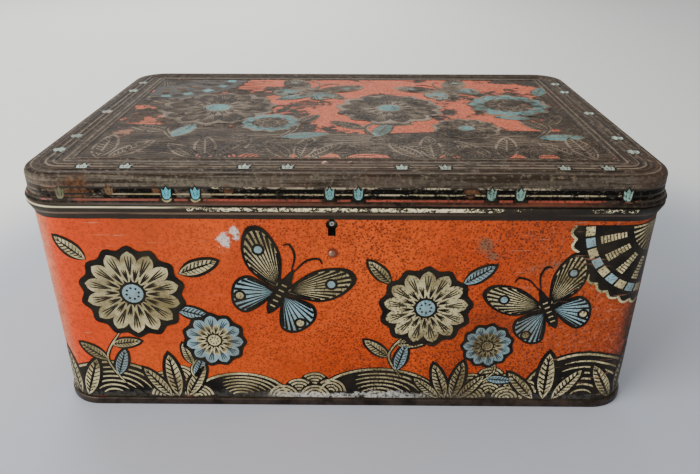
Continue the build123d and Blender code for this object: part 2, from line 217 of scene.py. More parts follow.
class Value:
    """What a node gives: arithmetic on it adds further nodes to its material."""

    def __init__(self, shader, socket):
        self.shader = shader
        self.socket = socket

    def math(self, operation, *others):
        return self.shader.node("ShaderNodeMath", 0, dict(enumerate((self, *others))), operation=operation)

    def __add__(self, other):
        return self.math("ADD", other)

    def __sub__(self, other):
        return self.math("SUBTRACT", other)

    def __mul__(self, other):
        return self.math("MULTIPLY", other)

    def __gt__(self, limit):
        return self.math("GREATER_THAN", limit)

    def __lt__(self, limit):
        return self.math("LESS_THAN", limit)

    def __abs__(self):
        return self.math("ABSOLUTE")

    def larger(self, other):
        return self.math("MAXIMUM", other)

    def ramp(self, low, high, to_low=0.0, to_high=1.0):
        """Smooth step from to_low to to_high as the value goes from low to high."""
        inputs = {"Value": self, "From Min": low, "From Max": high, "To Min": to_low, "To Max": to_high}
        return self.shader.node("ShaderNodeMapRange", 0, inputs, interpolation_type="SMOOTHSTEP")

    def band(self, low, high, soft):
        """1 between low and high, and 0 beyond, with soft edges."""
        return self.ramp(low - soft, low + soft) * self.ramp(high - soft, high + soft, 1.0, 0.0)


def distance(across, along):
    return (across * across + along * along).math("SQRT")


class Shader:
    """A material under construction."""

    def __init__(self, name):
        self.material = bpy.data.materials.new(name)
        self.material.use_nodes = True
        self.tree = self.material.node_tree
        coordinates = self.tree.nodes.new("ShaderNodeTexCoord")
        self.place = Value(self, coordinates.outputs["Object"])
        self.facing = Value(self, coordinates.outputs["Normal"])
        self.x, self.y, self.z = (self.part(self.place, axis) for axis in "XYZ")

    def put(self, node, inputs):
        """Each input gets a number or colour of its own, or a link to another node's value."""
        for name, value in inputs.items():
            if isinstance(value, Value):
                self.tree.links.new(value.socket, node.inputs[name])
            else:
                node.inputs[name].default_value = value

    def node(self, kind, output, inputs, **settings):
        node = self.tree.nodes.new(kind)
        for name, value in settings.items():
            setattr(node, name, value)
        self.put(node, inputs)
        return Value(self, node.outputs[output])

    def part(self, vector, axis):
        return self.node("ShaderNodeSeparateXYZ", axis, {0: vector})

    def facing_part(self, axis):
        """Part of the surface's direction, in the piece's own frame, so that it turns with the lid."""
        return self.part(self.facing, axis)

    def moved(self, stretch, seed):
        inputs = {"Vector": self.place, "Scale": stretch, "Location": (seed, seed * 0.7, seed * 1.3)}
        return self.node("ShaderNodeMapping", 0, inputs)

    def noise(self, scale, detail, roughness, seed=0.0, stretch=(1, 1, 1), vector=None):
        vector = vector or self.moved(stretch, seed)
        inputs = {"Scale": scale, "Detail": detail, "Roughness": roughness, "Vector": vector}
        return self.node("ShaderNodeTexNoise", "Fac", inputs)

    def cells(self, scale, seed):
        inputs = {"Scale": scale, "Vector": self.moved((1, 1, 1), seed)}
        return self.node("ShaderNodeTexVoronoi", "Distance", inputs)

    def mix(self, factor, first, second):
        return self.node("ShaderNodeMix", 2, {0: factor, 6: first, 7: second}, data_type="RGBA")

    def coats(self, base, *rows):
        """The base with colours over it: each row is a colour and the masks that all have to allow it."""
        for colour, mask, *others in rows:
            for other in others:
                mask = mask * other
            base = self.mix(mask, base, colour)
        return base

    def outward(self):
        """1 where a surface faces away from the middle of the box, 0 where it faces in or lies level."""
        return (self.facing_part("X") * self.x + self.facing_part("Y") * self.y) > 0.004

    def inset(self):
        """Distance in from the box's outline, in metres, as seen from above."""
        x = abs(self.x) - FLAT_X * MM
        y = abs(self.y) - FLAT_Y * MM
        outside = distance(x.larger(0.0), y.larger(0.0))
        inside = x.larger(y).math("MINIMUM", 0.0)
        return (outside + inside) * -1.0 + CORNER * MM

    def bump(self, height, strength, distance, **under):
        """Relief in metres: under may give a Normal that it comes on top of."""
        inputs = {"Height": height, "Strength": strength, "Distance": distance}
        return self.node("ShaderNodeBump", 0, {**inputs, **under})

    def finish(self, colour, roughness, metallic=0.0, specular=0.5, **relief):
        """The material, with a Normal if there is relief."""
        inputs = {"Base Color": colour, "Roughness": roughness, "Metallic": metallic,
                  "Specular IOR Level": specular}
        self.put(self.tree.nodes["Principled BSDF"], {**inputs, **relief})
        return self.material


# Wear that crosses every printed colour in the same places, in metres

def pinholes(shader):
    """Dark specks where the paint has pitted, thick from the middle to the right."""
    spread = shader.x.ramp(-0.10, 0.03, 0.55, 1.0)
    reach = (shader.noise(42, 4, 0.6, 3.0) * 0.44 + 0.14) * spread
    fine = (shader.cells(980, 1.0) - reach).ramp(-0.10, 0.07, 0.95, 0.0)
    reach = (shader.noise(30, 3, 0.6, 21.0) * 0.8 - 0.30) * spread
    return fine.larger((shader.cells(640, 2.0) - reach).ramp(-0.06, 0.05, 1.0, 0.0))


def scuffs(shader):
    """Short level scratches, mostly towards the ends of the front."""
    marks = shader.noise(90, 5, 0.7, 9.0, stretch=(0.55, 0.55, 7.5)).ramp(0.61, 0.66)
    place = shader.noise(16, 3, 0.5, 27.0).ramp(0.38, 0.52)
    return marks * place * abs(shader.x).ramp(0.05, 0.1, 0.15, 1.0)


def stains(shader):
    return shader.noise(15, 5, 0.64, 5.0).ramp(0.48, 0.72)


def corner_rub_and_shade(shader):
    """Where paint is rubbed off the upright corners, and where they are painted darker as shade, most of all
    low down on the right.
    """
    bend = abs(shader.x).ramp(0.109, 0.1155) * abs(shader.y).ramp(0.070, 0.077)
    right_and_low = shader.x.ramp(-0.05, 0.05, 0.35, 1.0) * shader.z.ramp(0.02, 0.08, 1.0, 0.8)
    return bend * right_and_low * shader.noise(110, 6, 0.74, 15.0).ramp(0.34, 0.52)


def foot_flakes(shader):
    """Where paint has flaked along the foot, most of all in the middle of the front."""
    low = (shader.noise(240, 5, 0.8, 35.0) * -0.0115 + shader.z).ramp(0.0004, 0.0014, 1.0, 0.0)
    patch = shader.noise(60, 4, 0.7, 36.0).ramp(0.32, 0.44)
    broken = shader.noise(560, 5, 0.85, 47.0).ramp(0.42, 0.52, 0.05, 1.0)
    return low * patch * broken * shader.x.band(-0.028, 0.030, 0.012).larger(0.08)


def blots(shader, base, colour, marks, ragged, share):
    """The base with a ragged round mark at each of the places on the front, in millimetres."""
    for x, z, reach in marks:
        away = distance(shader.x - x * MM, shader.z - z * MM)
        mark = (ragged * (reach * 2.4 * MM) + away).ramp(reach * 1.6 * MM, reach * 2.0 * MM, 1.0, 0.0)
        base = shader.coats(base, (colour, mark, shader.y < -0.0815, share))
    return base


def long_wear(shader, seed):
    """Noise drawn out along the edges of the box."""
    return shader.noise(170, 4, 0.6, seed, stretch=(0.12, 0.12, 2.5))


def bare_tin(shader):
    return shader.mix(shader.noise(40, 5, 0.6, 17.0), TIN[1], TIN[0])


def printed(name, tones, stain=0.3, speckle=0.8, pit=OXIDE, wear=None, worn_to=OXIDE, kept=None,
            specular=0.3):
    """Lithographed colour on tinplate: wear is how far it's rubbed away, worn_to what shows there.

    On the front, a line lasts between the two places kept, in metres along X, and is gone beyond them."""
    shader = Shader(name)
    base = shader.coats(
        tones[0],
        (tones[1], shader.noise(70, 5, 0.66, 2.0).ramp(0.36, 0.66)),
        (tones[1], shader.noise(700, 3, 0.7, 23.0).ramp(0.52, 0.68), 0.55),
        (worn_to, stains(shader), stain),
        (pit, pinholes(shader), speckle))
    if wear is not None:
        rubbed = shader.noise(230, 6, 0.74, 14.0, stretch=(0.6, 0.6, 1.4))
        if kept is not None:
            lasting = shader.x.band(*kept, 0.012).larger(shader.y.ramp(-0.075, -0.055))
            rubbed = rubbed + (lasting * -0.2 + 0.2)
        base = shader.mix(rubbed.ramp(0.66 - wear, 0.69 - wear), base, worn_to)
    base = shader.coats(
        base,
        (SCUFF, scuffs(shader), 0.35),
        (FLAKED, foot_flakes(shader), 0.8),
        # Rubbed paint and painted shade on the corners
        (OXIDE, corner_rub_and_shade(shader), 0.8))
    fine = shader.noise(900, 3, 0.6, 4.0)
    relief = shader.bump(fine, 0.35, 0.00012)
    return shader.finish(base, fine * 0.25 + 0.33, specular=specular, Normal=relief)


# Wall

def rivet_shadow_ring(shader):
    """Painted shadow: a dark ring round the head of the lock's rivet, set off up and to the right."""
    low_corner, high_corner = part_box("lock_rivet")
    away_x = shader.x - ((low_corner[0] + high_corner[0]) / 2 + 0.0003)
    away_z = shader.z - ((low_corner[2] + high_corner[2]) / 2 + 0.0004)
    return distance(away_x, away_z).ramp(0.0017, 0.0024, 1.0, 0.0) * (shader.y < 0.0)


def orange_ground(shader):
    """Orange print of the wall, richer on the left, with a painted sheen on the bends that face left, and
    darker and more speckled to the right.
    """
    side = shader.x
    facing = shader.facing_part("X")
    darker = (stains(shader) * side.ramp(-0.06, 0.11, 0.2, 0.7)).larger(side.ramp(0.02, 0.125, 0.0, 0.6))
    ground = shader.coats(
        ORANGE,
        (ORANGE_DEEP, shader.noise(24, 5, 0.62, 2.0).ramp(0.34, 0.7)),
        (ORANGE_RICH, side.ramp(-0.118, -0.110), side.ramp(-0.110, -0.070, 0.7, 0.0)),
        # Painted sheen: paler orange on the bends that face left, where light falls and reflects, but not on
        # the flat left side
        (ORANGE_BEND_SHEEN, facing.ramp(-0.99, -0.90), facing.ramp(-0.75, -0.30, 0.42, 0.0)),
        (ORANGE_DARK, shader.noise(620, 4, 0.75, 6.0).ramp(0.44, 0.66), side.ramp(-0.11, 0.05, 0.36, 0.62)),
        (ORANGE_DARK, darker),
        (ORANGE_DARK, shader.noise(170, 4, 0.65, 48.0).ramp(0.5, 0.68), side.ramp(-0.09, 0.03, 0.12, 0.3)),
        (SMUDGE, shader.noise(48, 6, 0.7, 41.0).ramp(0.56, 0.68), side.ramp(-0.03, 0.06), 0.6))

    # Scrapes: a slanting one at the far right, and ragged marks
    slant = (side * -0.27 + shader.z).band(0.0455, 0.0485, 0.0012) * side.band(0.07, 0.108, 0.006)
    ground = shader.coats(ground, (SCRAPED, slant, shader.noise(330, 5, 0.75, 33.0).ramp(0.42, 0.56), 0.7))
    torn = shader.noise(420, 5, 0.8, 53.0)
    ground = blots(shader, ground, SCRAPED, SCRAPES, torn, 0.75)
    ground = blots(shader, ground, FLAKED, LOST_PAINT, torn, 0.9)
    return shader.coats(
        ground,
        (shader.mix(side.ramp(-0.05, 0.08), PIT_RED, PIT_BROWN), pinholes(shader), 0.95),
        (PINK_SPECK, shader.noise(560, 4, 0.8, 52.0).ramp(0.53, 0.66), side.ramp(0.05, 0.1), 0.6),
        (SCUFF, scuffs(shader), 0.85),
        (FLAKED, foot_flakes(shader), 0.8),
        # Painted shadow round the lock's rivet
        (PIT_BROWN, rivet_shadow_ring(shader), 0.85))


def bead_paint(shader):
    """Dark paint of the bead, with a broken pale line along its upper face and a painted highlight lower
    down, brighter on the left.
    """
    side, height = shader.x, shader.z
    ragged = shader.noise(300, 5, 0.7, 8.0)
    wear = long_wear(shader, 44.0)
    flakes = shader.noise(900, 4, 0.78, 11.0, stretch=(0.8, 0.8, 1.1))
    fading = abs(side).ramp(0.042, 0.075, -0.05, 0.2) - side.band(0.088, 0.108, 0.004) * 0.21
    kept = shader.noise(26, 4, 0.65, 28.0) * 0.45 + flakes - fading
    edge = shader.noise(200, 4, 0.7, 29.0) * 0.0008 + height
    cream = shader.mix(ragged.ramp(0.58, 0.8), BEAD_CREAM, KHAKI)
    thin = height.band(0.0924, 0.0929, 0.0002) * side.ramp(-0.06, -0.035, 0.9, 0.0)
    # Painted highlight along the bead's lower face, stronger on the left
    glint = height.band(0.0895, 0.0904, 0.0004) * wear.ramp(0.38, 0.62)
    return shader.coats(
        INK_WORN,
        (BEAD_BROWN, ragged.ramp(0.45, 0.75)),
        (INK, side.ramp(0.05, 0.105, 0.0, 0.7)),
        (cream, edge.band(0.0915, 0.0930, 0.0002), kept.ramp(0.742, 0.782)),
        (BEAD_CREAM, thin, wear.ramp(0.34, 0.48)),
        (BEAD_SHINE, glint, side.ramp(-0.06, 0.07, 0.85, 0.35)))


def wall_material():
    """Orange ground on the wall, dark worn bead, bare tin inside and on the neck."""
    shader = Shader("wall_print")
    wobble = shader.noise(120, 3, 0.6, 13.0) * 0.0006 - 0.0003
    on_bead = (shader.z + wobble).ramp(0.0871, 0.0873)
    paint = shader.mix(on_bead, orange_ground(shader), bead_paint(shader))

    # Foot and corners, where the print is rubbed down to dark metal, and painted shade on the corners
    edge_noise = shader.noise(90, 6, 0.72, 15.0)
    foot = (edge_noise * -0.005 + shader.z).ramp(0.0012, 0.0026, 1.0, 0.0)
    rubbed = corner_rub_and_shade(shader).larger(foot)
    paint = shader.mix(rubbed, paint, shader.mix(edge_noise.ramp(0.35, 0.7), FOOT_DARK, FOOT_WORN))

    bare = shader.coats(bare_tin(shader), (RUST, shader.noise(90, 6, 0.7, 18.0).ramp(0.6, 0.7)))
    is_print = shader.outward() * shader.z.ramp(0.0929, 0.0931, 1.0, 0.0)
    colour = shader.mix(is_print, bare, paint)
    fine = shader.noise(900, 3, 0.6, 4.0)
    relief = shader.bump(shader.noise(14, 2, 0.4, 20.0), 0.4, 0.0012)
    relief = shader.bump(fine, 0.35, 0.00012, Normal=relief)
    rough = fine * 0.3 + (rubbed * 0.35 + 0.3)
    return shader.finish(colour, rough, is_print * -0.85 + 0.85, 0.25, Normal=relief)


# Lid

def lid_brown(shader, streak, fleck, wear):
    """Brown ground of the lid, paler where the shoulder and skirt are rubbed."""
    low = shader.coats(
        SHOULDER_BROWN,
        (SHOULDER_PALE, (streak + wear).ramp(0.78, 1.2), shader.x.ramp(-0.1, 0.05, 1.0, 0.42)),
        (LID_DARK, shader.noise(900, 4, 0.75, 51.0).ramp(0.48, 0.62), 0.55))
    return shader.coats(
        low,
        (shader.mix(streak.ramp(0.38, 0.66), LID_DARK, LID_BROWN), shader.z.ramp(0.1040, 0.1046)),
        (LID_PALE, fleck.ramp(0.5, 0.7), 0.5),
        (LID_TINT, shader.noise(26, 4, 0.6, 2.0).ramp(0.5, 0.72), 0.5))


def lid_top(shader, colour, fleck):
    """The colour with pale border lines over it, and worn orange in the picture field."""
    inset = shader.inset()
    on_top = shader.z > 0.1040
    # Pale border lines; the one nearest the edge is a painted highlight along the shoulder
    for middle, width, share in BORDER_LINES:
        line = inset.band((middle - width / 2) * MM, (middle + width / 2) * MM, 0.00015)
        broken = shader.noise(150, 5, 0.7, middle).ramp(0.38, 0.56, 0.25, 1.0)
        colour = shader.coats(colour, (LID_PALE, line, broken, on_top, share))

    # Orange is worn through to brown, most of all on the left, where scraps of it are left
    field = inset.ramp(PANEL_INSET * MM, (PANEL_INSET + 0.3) * MM) * on_top
    ends = shader.x.ramp(-0.09, 0.02, 0.16, -0.02) + shader.x.ramp(0.065, 0.095, 0.0, 0.12)
    whole = (shader.noise(34, 6, 0.68, 31.0) + ends).ramp(0.52, 0.56, 1.0, 0.0)
    scraps = shader.noise(85, 4, 0.6, 46.0).ramp(0.57, 0.60) * shader.x.ramp(-0.04, -0.01, 0.85, 0.0)
    orange = shader.coats(
        LID_ORANGE,
        (LID_ORANGE_PALE, fleck.ramp(0.45, 0.7)),
        (LID_DARK, pinholes(shader), 0.7))
    return shader.coats(colour, (orange, field, whole.larger(scraps)))


def lid_skirt(shader, colour, fleck, wear):
    """The colour with the skirt's black band, its dark hem with a painted highlight and a painted reflection
    of the coral line, and rust spots over it.
    """
    side, height = shader.x, shader.z
    level = height + (shader.noise(90, 5, 0.75, 3.0) * 0.0024 - 0.0012)
    black = level.ramp(0.0944, 0.0947) * level.ramp(0.0994, 0.1004, 1.0, 0.0)
    far_left = side.ramp(-0.10, -0.078, 0.16, 0.0) * shader.y.ramp(-0.075, -0.055, 1.0, 0.0)
    whole = (shader.noise(38, 6, 0.7, 5.0) + far_left).ramp(0.60, 0.68, 1.0, 0.0)
    # Painted highlight along the hem's curl, stronger on the left
    glint = height.band(0.0935, 0.0944, 0.0004) * wear.ramp(0.36, 0.62)
    # Painted reflection: reddish tone of the coral line on the hem, in the middle of the front
    coral_reflection = side.band(-0.05, 0.085, 0.02) * wear.ramp(0.36, 0.6)
    hem = shader.coats(
        HEM_DARK,
        (HEM_BROWN, fleck.ramp(0.42, 0.66)),
        (HEM_HIGHLIGHT, glint, side.ramp(0.02, 0.09, 0.65, 0.15)),
        (HEM_CORAL_REFLECTION, coral_reflection, height.band(0.0938, 0.0955, 0.0004), 0.75))
    colour = shader.coats(
        colour,
        (INK, black, whole, fleck.ramp(0.54, 0.64, 1.0, 0.45)),
        (hem, height.ramp(0.0959, 0.0961, 1.0, 0.0)))
    rusted = shader.mix(fleck.ramp(0.4, 0.65), RUST_BROWN, RUST_PALE)
    return blots(shader, colour, rusted, RUST_SPOTS, shader.noise(240, 5, 0.75, 24.0), 0.9)


def lid_material():
    """Rubbed brown lid: pale lines along its border, worn orange inside, dark bands on the skirt."""
    shader = Shader("lid_print")
    flow = {0: shader.inset(), 1: (shader.x + shader.y) * 0.03, 2: shader.z}
    streak = shader.noise(1300, 4, 0.7, vector=shader.node("ShaderNodeCombineXYZ", 0, flow))
    fleck = shader.noise(520, 4, 0.75, 7.0)
    wear = long_wear(shader, 43.0)
    colour = lid_brown(shader, streak, fleck, wear)
    colour = lid_top(shader, colour, fleck)
    colour = lid_skirt(shader, colour, fleck, wear)

    up = shader.facing_part("Z")
    lower = ((up > 0.02) * (shader.z > 0.0975)).larger(shader.outward())
    outside = shader.mix(shader.z > 0.1046, lower, up > -0.2)
    colour = shader.mix(outside, bare_tin(shader), colour)
    relief = shader.bump(shader.noise(12, 2, 0.4, 20.0), 0.4, 0.0012)
    relief = shader.bump(streak * outside, 0.5, 0.00025, Normal=relief)
    relief = shader.bump(fleck, 0.3, 0.00012, Normal=relief)
    return shader.finish(colour, streak * 0.3 + 0.38, specular=0.06, Normal=relief)


# Bare metal

def metal_material(name, tones, rust=0.5, roughness=0.4, seam=False):
    """Tarnished tinplate or steel; with seam, the outside of the seam round the foot is worn dark."""
    shader = Shader(name)
    tone = shader.noise(120, 5, 0.65, 3.0).ramp(0.35, 0.68)
    colour = shader.mix(tone, *tones)
    rust_tone = RUST
    if seam:
        on_seam = shader.outward() * shader.z.ramp(0.0042, 0.0046, 1.0, 0.0)
        colour = shader.mix(on_seam, colour, shader.mix(tone, *SEAM))
        rust_tone = shader.mix(on_seam, RUST, RUST_BROWN)
    spots = shader.noise(75, 6, 0.7, 6.0).ramp(0.68 - 0.15 * rust, 0.78 - 0.15 * rust)
    colour = shader.mix(spots, colour, rust_tone)
    fine = shader.noise(1200, 3, 0.6, 4.0)
    relief = shader.bump(fine, 0.3, 0.00008)
    return shader.finish(colour, fine * 0.25 + (roughness - 0.1), spots * -0.6 + 0.8, Normal=relief)


def dress_nodes():
    by_slot = {
        "wall_print": wall_material(),
        "lid_print": lid_material(),
        "tinplate": metal_material("tinplate", TIN, 0.6, seam=True),
        "lock_steel": metal_material("lock_steel", LOCK_STEEL, 0.3),
        "rivet_metal": metal_material("rivet_metal", RIVET, 0.3),
    }
    by_node = {
        "key_post": metal_material("key_post_steel", KEY_POST, 0.0),
        "hasp_rivets": metal_material("hasp_rivet_metal", HASP_RIVET, 0.6, 0.3),
    }
    slots = {entry["node"]: entry["material_slot"] for entry in frame["record"]["subparts"]}
    for name, node in frame["nodes"].items():
        node.data.materials.clear()
        node.data.materials.append(by_node.get(name, by_slot[slots[name]]))


dress_nodes()


# Surfaces: each turns a flat drawing, in millimetres, into a place on the box

def wall_place(s, z, out):
    """Point on the wall: s runs to the right round the box from the middle of the front."""
    runs = (FLAT_X, BEND, 2 * FLAT_Y, BEND, 2 * FLAT_X, BEND, 2 * FLAT_Y, BEND, FLAT_X)
    left = s % sum(runs)
    place, face = complex(0.0, -HALF_DEPTH), complex(0.0, -1.0)
    for index, run in enumerate(runs):
        along = min(left, run)
        if index % 2:
            centre = place - face * CORNER
            face *= rect(1.0, along / CORNER)
            place = centre + face * CORNER
        else:
            place += face * 1j * along
        left -= along
        if left <= 0:
            break
    place += face * out
    return Vector((place.real, place.imag, z)) * MM


def skirt_place(s, z, out):
    """Point on the skirt of the lid, and on the slope of its hem."""
    if z < HEM_TOP:
        out += HEM_OUT + (HEM_TOP - z) * HEM_SLOPE
    return wall_place(s, z, out + SKIRT_OUT)


def top_place(x, y, out):
    """Point on the top of the lid, over its ridges."""
    inset = min(HALF_WIDTH - abs(x), HALF_DEPTH - abs(y))
    rise = 0.0
    for ridge in RIDGE_INSETS:
        across = abs(inset - ridge) / (RIDGE_WIDTH / 2)
        if across < 1:
            rise = RIDGE_HEIGHT * (1 - across ** 2)
    return Vector((x, y, LID_TOP + rise + out)) * MM


def corner_cuts():
    """Lines across the bends, so that a shape follows the round corners."""
    starts = (FLAT_X, FLAT_X + BEND + 2 * FLAT_Y)
    return [("x", side * (start + BEND * step / BEND_STEPS))
            for start in starts for step in range(BEND_STEPS + 1) for side in (-1, 1)]


def ridge_cuts():
    """Lines along the ridges, so that a shape follows them."""
    cuts = []
    for ridge in RIDGE_INSETS:
        for step in (-1.0, -0.6, -0.25, 0.0, 0.25, 0.6, 1.0):
            inset = ridge + step * RIDGE_WIDTH / 2
            for side in (-1, 1):
                cuts.append(("x", side * (HALF_WIDTH - inset)))
                cuts.append(("y", side * (HALF_DEPTH - inset)))
    return cuts


class Layer:
    """Shapes of one colour, drawn flat and then raised and bent on to the box."""

    def __init__(self, name, material, top):
        self.name = name
        self.material = material
        self.top = top
        self.lift = 0.0
        self.count = 0
        self.mesh = bmesh.new()

    def level(self):
        """Height of the next shape: overlapping shapes of one colour never share a plane."""
        self.count += 1
        return self.top + self.lift + SHAPE_STEP * (self.count % SHAPE_LEVELS)

    def raised(self, outline, faces):
        top = self.level()
        upper = [self.mesh.verts.new((x, y, top)) for x, y in outline]
        lower = [self.mesh.verts.new((x, y, SHAPE_FOOT)) for x, y in outline]
        for face in faces:
            self.mesh.faces.new([upper[i] for i in face])
        count = len(outline)
        for index in range(count):
            after = (index + 1) % count
            self.mesh.faces.new((upper[index], lower[index], lower[after], upper[after]))

    def fill(self, points):
        """Closed outline of any shape that doesn't cross itself."""
        area = sum(a[0] * b[1] - b[0] * a[1] for a, b in zip(points, points[1:] + points[:1]))
        if area < 0:
            points = points[::-1]
        flat = [Vector((x, y, 0)) for x, y in points]
        faces = []
        for corners in tessellate_polygon([flat]):
            a, b, c = (flat[i] for i in corners)
            turn = (b - a).cross(c - a).z
            if abs(turn) > 1e-9:
                faces.append(corners if turn > 0 else corners[::-1])
        self.raised(points, faces)

    def stroke(self, points, widths):
        """Line of changing width through the points."""
        left, right = [], []
        last = len(points) - 1
        for index, (point, width) in enumerate(zip(points, widths)):
            before = points[max(index - 1, 0)]
            after = points[min(index + 1, last)]
            dx, dy = after[0] - before[0], after[1] - before[1]
            length = hypot(dx, dy) or 1.0
            half = width / 2
            left.append((point[0] - dy / length * half, point[1] + dx / length * half))
            right.append((point[0] + dy / length * half, point[1] - dx / length * half))
        total = 2 * len(points)
        faces = [(i, i + 1, total - 2 - i, total - 1 - i) for i in range(last)]
        self.raised(right + left[::-1], faces)

    def even(self, points, width):
        """Line of one width."""
        self.stroke(points, [width] * len(points))

    def tapered(self, points, width):
        """Line that thins towards its ends."""
        last = len(points) - 1
        shares = [0.25 + 0.75 * sin(pi * i / last) ** 0.6 for i in range(last + 1)]
        self.stroke(points, [width * share for share in shares])

    def build(self, surface, body, slot, cuts):
        for axis, value in cuts:
            plane = {"plane_co": AXES[axis] * value, "plane_no": AXES[axis]}
            everything = self.mesh.verts[:] + self.mesh.edges[:] + self.mesh.faces[:]
            bmesh.ops.bisect_plane(self.mesh, geom=everything, dist=1e-4, **plane)
        for vertex in self.mesh.verts:
            vertex.co = surface(*vertex.co)
        data = bpy.data.meshes.new(self.name)
        self.mesh.to_mesh(data)
        self.mesh.free()
        data.materials.append(self.material)
        piece = bpy.data.objects.new(self.name, data)
        scene.collection.objects.link(piece)
        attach(piece, body)


class Print:
    """The layers of one printed surface: motifs are drawn from a floor and a middle, and may be mirrored."""

    def __init__(self, name, surface, body, slot, cuts, floor=0.0, rim=1.0):
        """rim sets how wide the outline of a leaf or flower is, against the outlines on the wall."""
        self.name = name
        self.where = (surface, body, slot, cuts)
        self.floor = floor
        self.rim = rim
        self.middle = 0.0
        self.mirror = 1
        self.layers = {}

    def paint(self, name, tones, **look):
        return printed(f"{self.name}_{name}", tones, **look)

    def layer(self, key, material, top):
        self.layers[key] = Layer(f"{self.name}_{key}", material, top)

    def colour(self, key, top, tones, **look):
        """Layer with a colour of its own."""
        self.layer(key, self.paint(key, tones, **look), top)

    def __getitem__(self, key):
        return self.layers[key]

    def at(self, x):
        return self.middle + self.mirror * x

    def over(self, step):
        """Lift what is drawn next, so that it lies over what is there."""
        for layer in self.layers.values():
            layer.lift = OVER_STEP * step

    def draw(self, motif, *rows):
        """The motif, once for each row of the values it takes."""
        for row in rows:
            motif(self, *row)

    def build(self):
        for layer in self.layers.values():
            layer.build(*self.where)


# Drawing helpers

def polar(x, y, radius, angle):
    return (x + radius * cos(angle), y + radius * sin(angle))


def circle(x, y, radius, sides):
    return [polar(x, y, radius, 2 * pi * i / sides) for i in range(sides)]


def arc(x, y, radius, start, end, steps, squash=1.0):
    turns = [start + (end - start) * i / steps for i in range(steps + 1)]
    return [(x + radius * cos(a), y + radius * squash * sin(a)) for a in turns]


def placer(x, y, scale, turn):
    """Function that scales, turns and moves points to a place."""
    same, cross = cos(turn) * scale, sin(turn) * scale
    return lambda points: [(x + px * same - py * cross, y + px * cross + py * same) for px, py in points]


def curve(controls, steps=12):
    """Smooth line through the control points."""
    padded = [controls[0]] + list(controls) + [controls[-1]]
    line = []
    for i in range(len(controls) - 1):
        a, b, c, d = padded[i:i + 4]
        for step in range(steps):
            t = step / steps
            line.append(tuple(
                0.5 * (2 * b[k] + (c[k] - a[k]) * t + (2 * a[k] - 5 * b[k] + 4 * c[k] - d[k]) * t ** 2
                       + (3 * b[k] - a[k] - 3 * c[k] + d[k]) * t ** 3)
                for k in (0, 1)))
    line.append(tuple(controls[-1]))
    return line


def petal(length, width, tip=0.62):
    """Outline of a petal that grows along +X from the origin, widest at tip."""
    upper = []
    for i in range(PETAL_STEPS + 1):
        share = i / PETAL_STEPS
        if share < tip:
            half = width / 2 * sin(pi / 2 * share / tip) ** 0.8
        else:
            half = width / 2 * cos(pi / 2 * (share - tip) / (1 - tip)) ** 0.6
        upper.append((length * share, half))
    return upper + [(x, -y) for x, y in upper[1:-1]][::-1]


# Motifs

def blossom(on, x, y, radius, petals, turn=0.0, outer="fill"):
    """Round flower with two rings of petals, seen from the front."""
    x = on.at(x)
    reach = radius * (1.0 + 0.06 * on.rim)
    scallop = radius * 0.05
    turns = [2 * pi * i / (petals * 6) for i in range(petals * 6)]
    on["edge"].fill([polar(x, y, reach + scallop * cos(petals * a), a + turn) for a in turns])
    veins = (-1, 0, 1) if on.rim == 1.0 else (-1.5, -0.75, 0, 0.75, 1.5)
    for reach, root, shift, colour in ((1.0, 0.36, 0.0, outer), (0.66, 0.24, 0.5, "fill_high")):
        width = 2 * pi * radius * reach / petals * 0.74
        length = radius * (reach - root) * 0.97
        for i in range(petals):
            angle = turn + 2 * pi * (i + shift) / petals
            place = placer(*polar(x, y, radius * root, angle), 1.0, angle)
            on[colour].fill(place(petal(length, width)))
            for side in veins:
                vein = [(length * t, side * width * 0.24 * t) for t in (0.12, 0.4, 0.65, 0.82)]
                on["line"].tapered(place(vein), radius * 0.030 * on.rim)
    on["line"].fill(circle(x, y, radius * 0.28, 20))
    on["blue_top" if outer == "fill" else "fill_top"].fill(circle(x, y, radius * 0.22, 18))
    for i in range(8):
        on["line_top"].fill(circle(*polar(x, y, radius * 0.13, turn + pi / 4 * i), radius * 0.028, 6))


# Right half of a butterfly: its feeler, and its wings by colour, colour and rise of the spot, and outline
FEELER = ((0.02, 0.44), (0.10, 0.72), (0.26, 0.86), (0.36, 0.80))
WINGS = (
    ("fill", "blue_top", 0.12,
     ((0.04, 0.06), (0.30, 0.62), (0.74, 0.92), (1.0, 0.80), (0.92, 0.42), (0.62, 0.12), (0.08, 0.0))),
    ("blue", "fill_top", -0.08,
     ((0.05, -0.02), (0.58, 0.04), (0.76, -0.22), (0.62, -0.58), (0.36, -0.66), (0.18, -0.42))),
)


